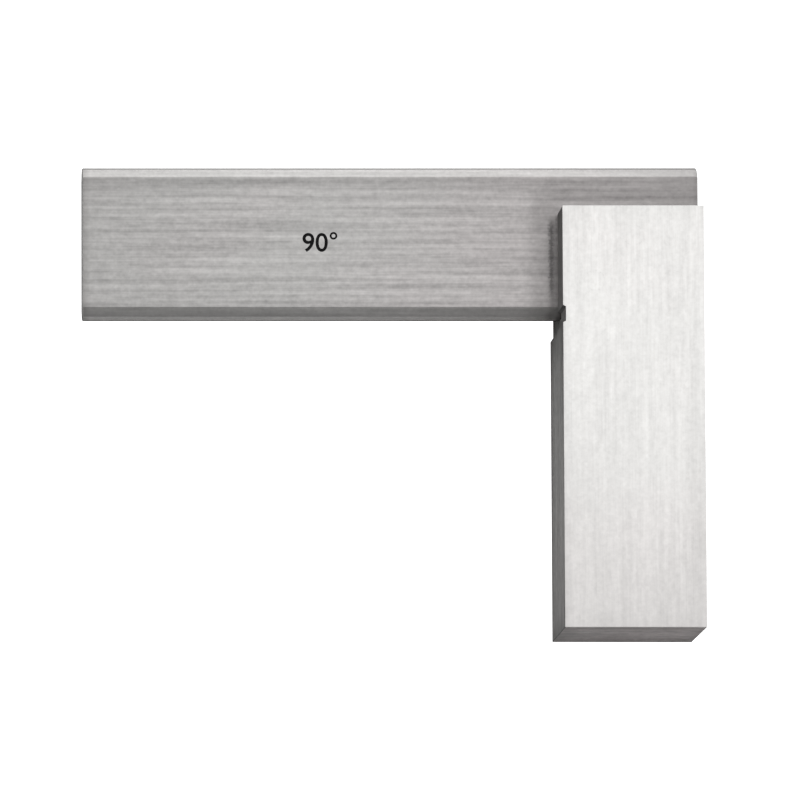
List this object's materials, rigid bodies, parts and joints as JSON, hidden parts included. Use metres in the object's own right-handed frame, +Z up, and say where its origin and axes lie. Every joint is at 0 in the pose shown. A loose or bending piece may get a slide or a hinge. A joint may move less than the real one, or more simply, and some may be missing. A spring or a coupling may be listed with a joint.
{
  "type": "steel try square",
  "caption": "Small engineer's square: a flat steel blade with bevelled edges, pinned at right angles in the slotted head of a thick rectangular steel beam, for marking and checking corners.",
  "frame": {"origin": "centre of the beam's lower side face, the face the square lies on", "axes": "+X from the blade's free end to the beam, +Y from the beam's free end to its head, +Z up through the beam's thickness"},
  "size_m": [0.0987, 0.0756, 0.0159],
  "materials": {
    "beam_steel": "ground steel, fine grain along the beam, bright satin",
    "blade_steel": "ground steel, fine grain along the blade, mid grey satin",
    "pin_steel": "ground flush with the beam, the same bright satin grain"
  },
  "bodies": {
    "root": {"beam": "beam_steel", "blade": "blade_steel", "pin_inner": "pin_steel", "pin_outer": "pin_steel", "pin_head": "pin_steel"}
  },
  "joints": []
}
